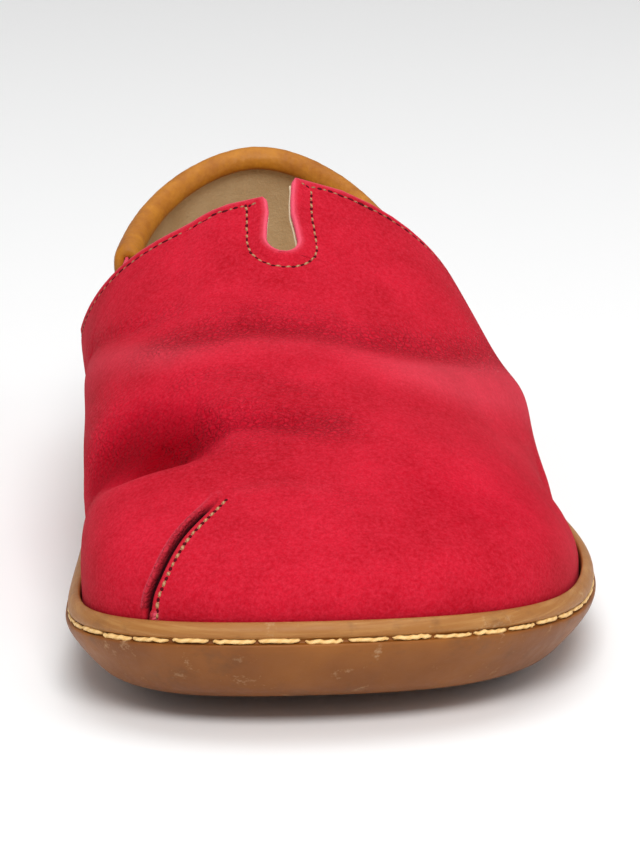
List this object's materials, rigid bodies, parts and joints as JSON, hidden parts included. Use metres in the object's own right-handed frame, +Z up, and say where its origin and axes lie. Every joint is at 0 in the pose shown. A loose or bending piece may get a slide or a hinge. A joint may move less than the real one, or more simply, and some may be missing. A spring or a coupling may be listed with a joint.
{
  "type": "slip-on slipper",
  "caption": "Closed-heel slip-on slipper in red nubuck leather with a notched throat, toe dart, tan padded collar and a stitched gum-rubber cup sole, for the left foot.",
  "frame": {"origin": "on the ground, under the middle of the shoe's length and width", "axes": "+Y towards the heel and -Y towards the toe, +X towards the outer side of the foot, +Z up"},
  "size_m": [0.1002, 0.262, 0.0757],
  "materials": {
    "red_nubuck": "soft brushed nubuck leather with fine wrinkles",
    "gum_rubber": "moulded gum rubber, satin, slightly translucent at the rim",
    "tan_leather": "smooth waxed tan leather over thin padding",
    "lining_leather": "undyed pigskin lining, matt",
    "upper_thread": "tan sewing thread",
    "sole_thread": "waxed pale yellow sole thread"
  },
  "bodies": {
    "root": {"outsole": "gum_rubber", "insole": "lining_leather", "upper": "red_nubuck", "collar_binding": "tan_leather"}
  },
  "joints": []
}
